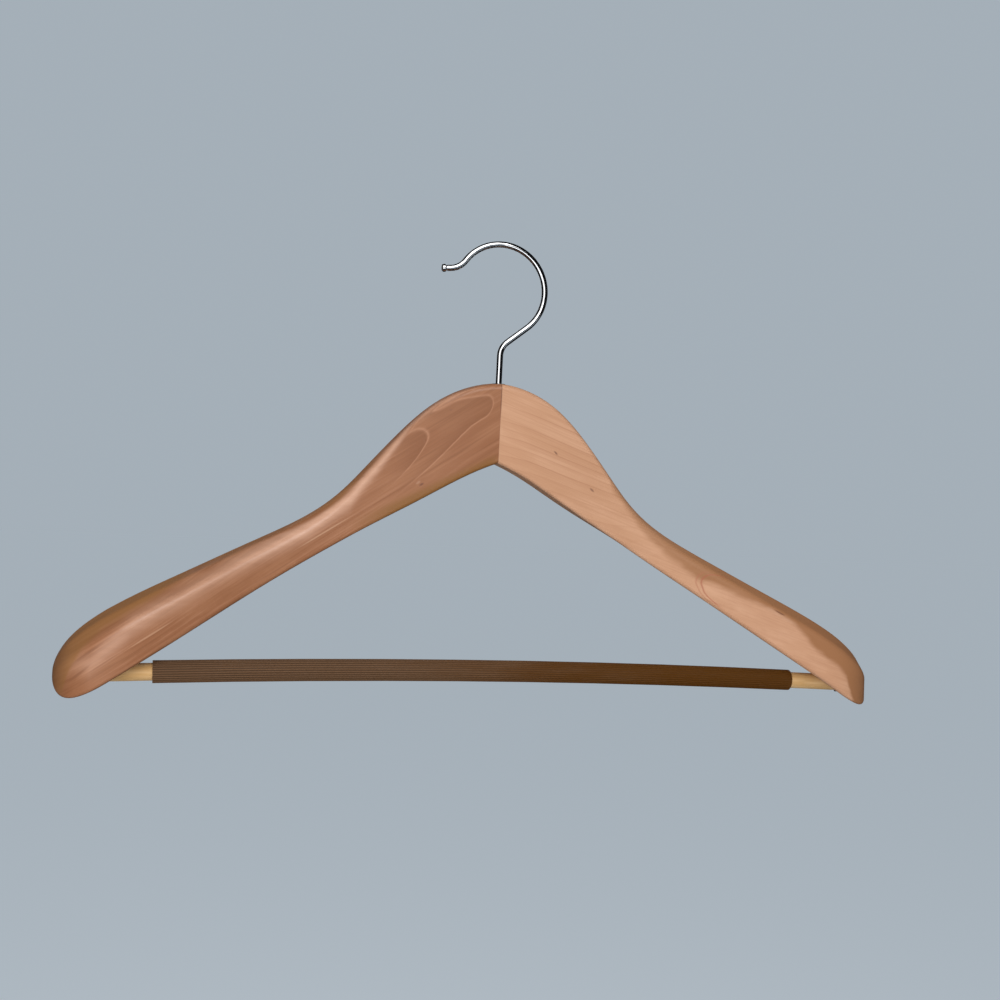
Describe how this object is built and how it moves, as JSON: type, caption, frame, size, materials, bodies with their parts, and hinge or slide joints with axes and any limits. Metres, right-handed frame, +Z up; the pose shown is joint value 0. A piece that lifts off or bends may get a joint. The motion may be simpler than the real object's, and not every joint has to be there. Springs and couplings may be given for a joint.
{
  "type": "trouser hanger",
  "caption": "Contoured wooden suit hanger with a swivelling chrome wire hook and a ribbed-sleeve trouser bar joining the tips of its arms.",
  "frame": {"origin": "on the hook's swivel axis, at the height of the loop's inner top, where the rail bears", "axes": "+X to the right along the arms with the hook opening to the left, +Y to the back, so the contoured tips come forward towards -Y, +Z up"},
  "size_m": [0.45, 0.0531, 0.2486],
  "materials": {
    "arm_wood": "satin clear lacquer",
    "dowel_wood": "bare, sanded",
    "hook_chrome": "polished plating",
    "bush_steel": "zinc plated",
    "sleeve_plastic": "fine ribbed, matt"
  },
  "bodies": {
    "hook": {"swivel_hook": "hook_chrome"},
    "hanger": {"left_arm": "arm_wood", "right_arm": "arm_wood", "mitre_dowel_upper": "dowel_wood", "mitre_dowel_lower": "dowel_wood", "hook_bush": "bush_steel", "hook_washer": "bush_steel", "bar_dowel": "dowel_wood", "bar_sleeve": "sleeve_plastic", "bar_pin_left": "bush_steel", "bar_pin_right": "bush_steel"}
  },
  "joints": [
    {"name": "hook_swivel", "type": "hinge", "parent": "hook", "child": "hanger", "pos_m": [0, 0, -0.0744], "axis": [0, 0, 1], "continuous": true}
  ]
}
